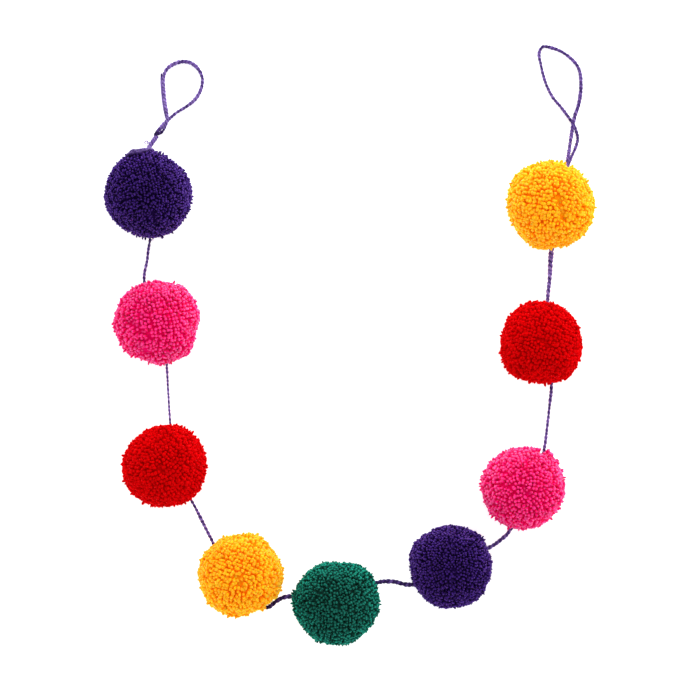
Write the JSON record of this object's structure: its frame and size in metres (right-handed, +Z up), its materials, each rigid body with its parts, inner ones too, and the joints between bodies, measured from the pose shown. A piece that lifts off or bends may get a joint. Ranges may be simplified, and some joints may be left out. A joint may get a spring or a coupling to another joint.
{
  "type": "yarn pompom garland",
  "caption": "Garland of cut-yarn pompoms threaded on a twisted cord, with a hanging loop at each end, lying flat in an open U.",
  "frame": {"origin": "middle of the pompoms' footprint, on the surface that they lie on", "axes": "+Z up from the surface, +X to the right of the picture, +Y to its top, where the two hanging loops lie"},
  "size_m": [0.3939, 0.4862, 0.0713],
  "materials": {
    "yarn_purple": "cut purple knitting yarn",
    "yarn_pink": "cut bright pink knitting yarn",
    "yarn_red": "cut red knitting yarn",
    "yarn_yellow": "cut yellow knitting yarn",
    "yarn_green": "cut dark green knitting yarn",
    "cord": "twisted purple yarn cord"
  },
  "bodies": {
    "root": {"pompom_purple_left": "yarn_purple", "pompom_pink_left": "yarn_pink", "pompom_red_left": "yarn_red", "pompom_yellow_left": "yarn_yellow", "pompom_green": "yarn_green", "pompom_purple_right": "yarn_purple", "pompom_pink_right": "yarn_pink", "pompom_red_right": "yarn_red", "pompom_yellow_right": "yarn_yellow", "cord_main": "cord", "loop_left": "cord", "tail_left": "cord", "knot_left": "cord", "loop_right": "cord"}
  },
  "joints": []
}
